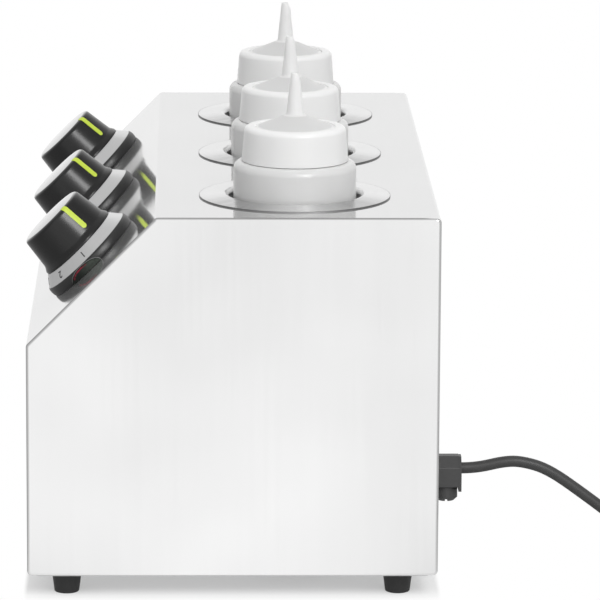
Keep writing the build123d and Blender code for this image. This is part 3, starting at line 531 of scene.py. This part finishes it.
def warm_metal(name, first, second, roughness=0.3):
    """Steel, copper, brass or nickel, tarnished in patches from one tint to the other."""
    finish = Finish(name, Metallic=1.0)
    tarnish = finish.noise(scale=90.0, detail=4.0, roughness=0.6)
    finish.set("Base Color", finish.mix(tarnish, first, second))
    finish.set("Roughness", roughness + tarnish.swing(0.2))
    finish.bump(finish.noise(scale=2200.0), 0.05, 0.0001)
    return finish.material


def glazed_ceramic(name):
    finish = Finish(name, Coat_Weight=0.3)
    speckle = finish.noise(scale=420.0, detail=3.0)
    finish.set("Base Color", finish.mix(speckle, (0.74, 0.72, 0.66), (0.84, 0.82, 0.77)))
    finish.set("Roughness", 0.4 + speckle.swing(0.2))
    finish.bump(speckle, 0.08, 0.0002)
    return finish.material


def lamp_red(name):
    finish = Finish(name, Roughness=0.2, Coat_Weight=0.5)
    facets = finish.noise(scale=600.0)
    finish.set("Base Color", finish.mix(facets, (0.42, 0.012, 0.012), (0.62, 0.03, 0.025)))
    return finish.material


# ---- stage -------------------------------------------------------------------------------------
def make_camera():
    camera = bpy.data.objects.new("camera", bpy.data.cameras.new("camera"))
    bpy.context.scene.collection.objects.link(camera)
    camera.data.lens = CAMERA_LENS
    camera.data.sensor_width = SENSOR_WIDTH
    camera.data.clip_end = CAMERA_REACH
    camera.location = (
        RIGHT_END + CAMERA_BEYOND_END,
        CASING_FRONT + CAMERA_BEHIND_FRONT,
        CASING_TOP + CAMERA_ABOVE_TOP,
    )
    level = cos(CAMERA_PITCH)
    ahead = Vector((-level * cos(CAMERA_YAW), level * sin(CAMERA_YAW), -sin(CAMERA_PITCH)))
    camera.rotation_euler = ahead.to_track_quat("-Z", "Y").to_euler()
    camera.rotation_euler.rotate(Matrix.Rotation(CAMERA_ROLL, 3, -ahead))
    bpy.context.scene.camera = camera


def seen_directly(net):
    """1 for camera, glossy and transmission rays, else 0."""
    total = net.ray("Is Camera Ray")
    for kind in ("Is Glossy Ray", "Is Transmission Ray"):
        total = total.joined("MAXIMUM", total, net.ray(kind))
    return total


def make_world():
    """White studio; what metal and plastic mirror of it dims towards its sides and its ceiling."""
    world = bpy.data.worlds.new("studio")
    bpy.context.scene.world = world
    world.use_nodes = True
    net = Net(world.node_tree)
    direction = net.node("ShaderNodeTexCoord", {}, {}, "Generated")
    side = net.component(direction, "Y").size()
    height = net.component(direction, "Z")
    walls = 1.0 - side.eased(*STUDIO_SIDE) * SIDE_DIMMING
    ceiling = 1.0 - height.eased(*STUDIO_CEILING) * CEILING_DIMMING
    mirrored = 1.0 - (1.0 - walls * ceiling) * net.ray("Is Glossy Ray")
    direct = seen_directly(net)
    background = net.tree.nodes["Background"]
    net.feed(background.inputs["Color"], WHITE)
    net.feed(background.inputs["Strength"], WORLD_LEVEL + direct * (mirrored - WORLD_LEVEL))


def make_floor():
    """Pale floor that keeps the shadow close round the casing and runs out to plain white."""
    mesh = bpy.data.meshes.new("studio_floor")
    half = FLOOR_SIZE / 2
    corners = [(-half, -half, 0), (half, -half, 0), (half, half, 0), (-half, half, 0)]
    mesh.from_pydata(corners, [], [(0, 1, 2, 3)])
    floor = bpy.data.objects.new("studio_floor", mesh)
    bpy.context.scene.collection.objects.link(floor)
    net = Finish("studio_floor", Roughness=1.0, Specular_IOR_Level=0.0)
    net.set("Base Color", grey(FLOOR_SHADE))
    spot = net.place(ACROSS_FLOOR)
    reach = (RIGHT_END - LEFT_END) / 2 - FLOOR_DRAW_IN, (CASING_BACK - CASING_FRONT) / 2, 0.0
    folded = net.vectors("ABSOLUTE", spot)
    beyond = net.vectors("MAXIMUM", net.vectors("SUBTRACT", folded, reach), (0, 0, 0))
    away = net.length(net.vectors("MULTIPLY", beyond, (1.0, FLOOR_SIDE_SQUEEZE, 1.0)))
    side = net.component(folded, "Y") / (net.length(spot) + NEVER_ZERO)
    level = 1.0 - side.eased(*STUDIO_SIDE) * SIDE_DIMMING * net.ray("Is Glossy Ray")
    white = net.node("ShaderNodeEmission", {}, {"Color": WHITE, "Strength": level})
    lift = net.node("ShaderNodeEmission", {}, {"Color": WHITE, "Strength": FLOOR_LIFT})
    paint = net.shader.outputs[0]
    near = net.node("ShaderNodeAddShader", {}, {0: paint, 1: lift})
    graded = net.node("ShaderNodeMixShader", {}, {0: away.eased(*FLOOR_FADE), 1: near, 2: white})
    shown = net.node("ShaderNodeMixShader", {}, {0: seen_directly(net), 1: paint, 2: graded})
    net.feed(net.tree.nodes["Material Output"].inputs["Surface"], shown)
    mesh.materials.append(net.material)


def add_softbox(name, place, size, power):
    light = bpy.data.objects.new(name, bpy.data.lights.new(name, "AREA"))
    bpy.context.scene.collection.objects.link(light)
    light.data.shape = "RECTANGLE"
    light.data.size, light.data.size_y = size
    light.data.energy = power
    light.location = place
    aim = Vector(LAMPS_AIM) - Vector(place)
    light.rotation_euler = aim.to_track_quat("-Z", "Y").to_euler()


def make_lights():
    add_softbox("overhead_softbox", place=(0.2, -0.2, 2.2), size=(3.2, 2.4), power=4.5)
    add_softbox("key_softbox", place=(1.86, 0.75, 1.34), size=(0.5, 1.0), power=20.0)


# ---- cord --------------------------------------------------------------------------------------
def coil_turns(centre, start_radius):
    """Two layers of turns wound from the outside in, then back out on top, counter-clockwise."""
    lower = [start_radius, start_radius - COIL_PITCH, start_radius - 2 * COIL_PITCH]
    upper = [start_radius - 1.5 * COIL_PITCH, start_radius - COIL_PITCH / 2]
    turns = [(r, CORD_RADIUS) for r in lower] + [(r, CORD_RADIUS + COIL_LAYER) for r in upper]
    turns.append(turns[-1])
    points = []
    for (radius, height), (next_radius, next_height) in zip(turns, turns[1:]):
        for step in range(COIL_POINTS):
            share = step / COIL_POINTS
            change = max(0.0, (share - 0.5) * 2)
            r = radius + (next_radius - radius) * change
            z = height + (next_height - height) * change
            angle = 2 * pi * share
            points.append((centre.x + r * cos(angle), centre.y + r * sin(angle), z))
    return points


def make_cord():
    low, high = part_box("cord_coil")
    centre = (low + high) / 2
    exit_x = (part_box("cord_grip_body")[0].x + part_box("cord_grip_body")[1].x) / 2
    outer = (high.x - low.x) / 2 - CORD_RADIUS
    route = [(exit_x, CASING_BACK + behind, height) for behind, height in CORD_ROUTE]
    turns = coil_turns(centre, outer)
    lead_x = centre.x + outer - COIL_PITCH / 2
    lead = [(lead_x, centre.y + along, height) for along, height in LEAD_ROUTE]
    points = route[:-1] + turns + lead
    curve = bpy.data.curves.new("supply_cord_sheath", "CURVE")
    curve.dimensions = "3D"
    curve.bevel_depth = 1.0  # times each point's own radius
    curve.bevel_resolution = 6
    curve.resolution_u = 6
    curve.use_fill_caps = True
    spline = curve.splines.new("NURBS")
    spline.points.add(len(points) - 1)
    for spot, point in zip(spline.points, points):
        spot.co = (*point, 1.0)
        spot.radius = CORD_RADIUS
    spline.order_u = 3
    spline.use_endpoint_u = True
    cord = bpy.data.objects.new("supply_cord_sheath", curve)
    bpy.context.scene.collection.objects.link(cord)
    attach(cord, "housing")
    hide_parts("supply_cord", "cord_coil")
    curve.materials.append(cord_sheath("cord_sheath"))


# ---- dials -------------------------------------------------------------------------------------
def add_piece(name, mesh, body, slot, material, *replaced):
    """Puts a mesh or curve into the scene on a body of the model, in place of the given nodes."""
    piece = bpy.data.objects.new(name, mesh)
    bpy.context.scene.collection.objects.link(piece)
    mesh.materials.clear()
    mesh.materials.append(material)
    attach(piece, body)
    if replaced:
        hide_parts(*replaced)


def turned_mesh(name, dial, profile, segments):
    """Closed profile of (radius, height) turned round the dial's axis."""
    points, faces = [], []
    for step in range(segments):
        angle = 2 * pi * step / segments
        points += [dial.spot(radius, angle, height) for radius, height in profile]
    count = len(profile)
    for step in range(segments):
        here, there = step * count, (step + 1) % segments * count
        for k in range(count):
            after = (k + 1) % count
            faces.append((here + k, there + k, there + after, here + after))
    mesh = bpy.data.meshes.new(name)
    mesh.from_pydata(points, [], faces)
    smooth(mesh)
    return mesh


def smooth(mesh):
    bm = bmesh.new()
    bm.from_mesh(mesh)
    bmesh.ops.recalc_face_normals(bm, faces=bm.faces)
    bm.to_mesh(mesh)
    bm.free()
    mesh.polygons.foreach_set("use_smooth", [True] * len(mesh.polygons))
    mesh.set_sharp_from_angle(angle=SHARP_EDGE)


def lens_outline(dial, radius, grow):
    """Half oval of the lens on a cylinder round the dial's axis, from one foot to the other."""
    points = []
    for step in range(LENS_STEPS + 1):
        share = pi * step / LENS_STEPS
        along = (LENS_HALF_LENGTH + grow) * cos(share) / LENS_RADIUS
        points.append(dial.spot(radius, LENS_ANGLE + along, (LENS_HEIGHT + grow) * sin(share)))
    return points


def bored(mesh, cutter):
    """The mesh with the cutter's volume taken out of it."""
    block = bpy.data.objects.new("bored", mesh)
    tool = bpy.data.objects.new("cutter", cutter)
    for item in (block, tool):
        bpy.context.scene.collection.objects.link(item)
    cut = block.modifiers.new("cut", "BOOLEAN")
    cut.operation, cut.solver, cut.object = "DIFFERENCE", "EXACT", tool
    shaped = block.evaluated_get(bpy.context.evaluated_depsgraph_get())
    result = bpy.data.meshes.new_from_object(shaped)
    for item in (block, tool):
        bpy.data.objects.remove(item)
    result.name = mesh.name
    return result


def lens_cutter(dial):
    """Block as wide and high as the lens, from inside the base's wall to well outside it."""
    sides = [lens_outline(dial, radius, OPENING_ROOM) for radius in OPENING_RADII]
    sunk = -OPENING_SINK * dial.out
    inner, outer = ([side[0] + sunk, *side, side[-1] + sunk] for side in sides)
    count = len(inner)
    faces = [(k, (k + 1) % count, count + (k + 1) % count, count + k) for k in range(count)]
    faces += [tuple(range(count))[::-1], tuple(range(count, 2 * count))]
    mesh = bpy.data.meshes.new("lens_cutter")
    mesh.from_pydata(inner + outer, [], faces)
    smooth(mesh)
    return mesh


def make_dial_base(dial, plastic):
    profile = [(radius * MM, height * MM) for radius, height in BASE_SIDE + BASE_INSIDE]
    name = f"dial_base_moulding_{dial.number}"
    solid = turned_mesh(name, dial, profile, BASE_SEGMENTS)
    mesh = bored(solid, lens_cutter(dial))
    smooth(mesh)
    add_piece(name, mesh, "housing", "black_plastic", plastic, f"dial_base_{dial.number}")


def make_lens_bezel(dial, plastic):
    """Thin moulded line round the lens, grey as a painted highlight of the lens's edge."""
    name = f"lens_bezel_{dial.number}"
    curve = bpy.data.curves.new(name, "CURVE")
    curve.dimensions = "3D"
    curve.bevel_depth, curve.bevel_resolution, curve.use_fill_caps = LENS_BEZEL, 3, True
    points = lens_outline(dial, LENS_RADIUS + LENS_BEZEL / 2, LENS_BEZEL_GAP)
    points = [point + LENS_BEZEL * dial.out for point in points]
    spline = curve.splines.new("POLY")
    spline.points.add(len(points) - 1)
    for spot, point in zip(spline.points, points):
        spot.co = (*point, 1.0)
    add_piece(name, curve, "housing", "black_plastic", plastic)


def drawn_number(number):
    """Solid figure of one number, lying flat round the origin, in small facets that can bend."""
    text = bpy.data.curves.new("number", "FONT")
    text.body, text.size, text.extrude = str(number), NUMBER_SIZE, NUMBER_INK
    text.offset = NUMBER_BOLDNESS
    drawn = bpy.data.objects.new("number", text)
    bpy.context.scene.collection.objects.link(drawn)
    flat = bpy.data.meshes.new_from_object(
        drawn.evaluated_get(bpy.context.evaluated_depsgraph_get()))
    bpy.data.objects.remove(drawn)
    bpy.data.curves.remove(text)
    bm = bmesh.new()
    bm.from_mesh(flat)
    bpy.data.meshes.remove(flat)
    bmesh.ops.remove_doubles(bm, verts=bm.verts, dist=NUMBER_WELD)
    bmesh.ops.triangulate(bm, faces=bm.faces)
    for _ in range(NUMBER_DIVISIONS):
        long = [edge for edge in bm.edges if edge.calc_length() > NUMBER_FACET]
        if not long:
            break
        bmesh.ops.subdivide_edges(bm, edges=long, cuts=1)
        bmesh.ops.triangulate(bm, faces=bm.faces)
    corners = [vertex.co for vertex in bm.verts]
    low = Vector([min(corner[k] for corner in corners) for k in range(3)])
    high = Vector([max(corner[k] for corner in corners) for k in range(3)])
    bmesh.ops.translate(bm, verts=bm.verts, vec=-(low + high) / 2)
    return bm


def make_ring_numbers(dial, ink):
    """Plain numbers 1 to 6 printed on the slope of the ring, their tops outwards."""
    foot, top = Vector(RING_FOOT), Vector(RING_TOP)
    outwards = (foot - top).normalized()
    raised = Vector((-outwards.y, outwards.x))
    middle = (foot + top) / 2 + NUMBER_LIFT * raised
    name = f"ring_numbers_{dial.number}"
    mesh = bpy.data.meshes.new(name)
    printed = bmesh.new()
    for number in NUMBERS:
        figure = drawn_number(number)
        for vertex in figure.verts:
            x, y, lift = vertex.co
            radius, height = middle + y * outwards + lift * raised
            angle = NUMBER_START + number * NUMBER_STEP - x / middle.x
            vertex.co = dial.spot(radius, angle, height)
        figure.to_mesh(mesh)
        figure.free()
        printed.from_mesh(mesh)
    printed.to_mesh(mesh)
    printed.free()
    mesh.validate()  # drops facets that the figures' inner corners leave doubled
    add_piece(name, mesh, "housing", "silver_ring", ink)


def make_neck_threads():
    """Screw thread on each bottle's neck, its ends run out into the neck."""
    plastic = milky_plastic("thread_white", BOTTLE_SHADE, BOTTLE_ROUGHNESS)
    for number in STATIONS:
        low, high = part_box(f"bottle_{number}")
        middle = (low + high) / 2
        name = f"neck_thread_{number}"
        curve = bpy.data.curves.new(name, "CURVE")
        curve.dimensions = "3D"
        curve.bevel_depth, curve.bevel_resolution, curve.use_fill_caps = THREAD_RIDGE, 3, True
        count = int(THREAD_TURNS * THREAD_POINTS)
        spline = curve.splines.new("POLY")
        spline.points.add(count)
        for step, spot in enumerate(spline.points):
            angle = 2 * pi * step / THREAD_POINTS
            height = high.z - THREAD_BELOW_MOUTH - THREAD_PITCH * (THREAD_TURNS - angle / (2 * pi))
            ends = min(step, count - step) / THREAD_POINTS / THREAD_RUN_OUT
            radius = NECK_RADIUS - THREAD_RIDGE * (1.0 - min(1.0, ends))
            spot.co = (middle.x + radius * cos(angle), middle.y + radius * sin(angle), height, 1.0)
        add_piece(name, curve, f"bottle_body_{number}", "white_bottle", plastic)


def make_dials(dials):
    """Rounded base, bezel and printed numbers of every dial."""
    plastic = moulded_black("dial_black", shade=0.018, roughness=0.36)
    # the bezel's grey is a painted highlight of the lens's edge
    line = moulded_black("bezel_painted_highlight", shade=0.16, roughness=0.30)
    ink = moulded_black("number_ink", shade=0.020, roughness=0.5)
    for dial in dials:
        make_dial_base(dial, plastic)
        make_lens_bezel(dial, line)
        make_ring_numbers(dial, ink)


# ---- carried-over pieces -----------------------------------------------------------------------
def paint_nodes(dials):
    """Gives every node of the model its finish."""
    wells = {n: (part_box(f"bottle_{n}")[0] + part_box(f"bottle_{n}")[1]) / 2 for n in STATIONS}
    centres = list(wells.values())
    finishes = {
        # the casing's sheet is set darker than the end panels': painted shade for the dimmer light
        # its top mirrors
        "casing_wrapper": rolled_steel(
            "rolled_casing_steel", grain=(0.03, 1, 1), shade=0.70, haze=0.20),
        # end panels: strong clouds partly a painted reflection, rims darkened as a painted dark
        # reflection
        "end_panel_right": rolled_steel(
            "rolled_end_steel", grain=(1, 1, 0.03), shade=0.85, haze=0.04, clouding_and_reflection=0.24,
            rim_dark_reflection=0.62),
        "base_plate": zinc_plate("zinc_base_plate", shade=0.6),
        "foot": rubber("foot_rubber"),
        "heater_band": warm_metal("heater_band_steel", (0.42, 0.40, 0.37), (0.55, 0.52, 0.47)),
        "thermostat_bulb": warm_metal("capillary_copper", (0.60, 0.26, 0.14), (0.80, 0.42, 0.26)),
        "earth_stud": warm_metal("earth_brass", (0.62, 0.45, 0.18), (0.75, 0.58, 0.28)),
        "terminal_block": glazed_ceramic("terminal_ceramic"),
        "dial_base": moulded_black("dial_core_black", shade=0.024, roughness=0.26),
        "knob_pointer": lime_paint("lime_pointer"),
        "bottle_cap": milky_plastic(
            "cap_white", shade=0.90, roughness=0.30, cone_radius=CAP_CONE, cone_centres=centres),
        "bottle": milky_plastic("bottle_white", BOTTLE_SHADE, BOTTLE_ROUGHNESS),
        "cord_grip": moulded_black("grip_black", shade=0.052, roughness=0.42, grain=1800.0),
        "plug_body": moulded_black("plug_black", shade=0.040, roughness=0.40, grain=1800.0),
        "plug_pins": warm_metal(
            "pin_nickel", (0.66, 0.64, 0.60), (0.76, 0.74, 0.70), roughness=0.22),
        "pilot_lamps": lamp_red("pilot_red"),
        "zinc": zinc_plate("zinc_fixings"),
    }
    finishes["end_panel_left"] = finishes["end_panel_right"]
    finishes["thermal_cutouts"] = finishes["terminal_block"]
    for name, node in frame["nodes"].items():
        number = int(name[-1]) if name[-1].isdigit() else 0
        kind = name[:-2] if number else name
        if kind == "well_liner":
            low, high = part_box(name)
            material = spun_steel(f"drawn_well_{number}", wells[number], (high.x - low.x) / 2)
        elif kind == "control_knob":
            material = knob_plastic(f"knob_black_{number}", dials[number - 1])
        elif kind == "scale_ring":
            material = satin_ring(f"silver_ring_{number}", dials[number - 1])
        elif kind == "lamp_lens":
            material = smoked_lens(f"smoked_lens_{number}", dials[number - 1])
        else:
            found = [k for k in finishes if kind.startswith(k)]
            material = finishes[max(found, key=len)] if found else finishes["zinc"]
        node.data.materials.clear()
        node.data.materials.append(material)


make_camera()
make_cord()
make_world()
make_floor()
make_lights()
controls = [Dial(number) for number in STATIONS]
make_dials(controls)
make_neck_threads()
paint_nodes(controls)

bpy.context.scene.view_settings.view_transform = "Standard"
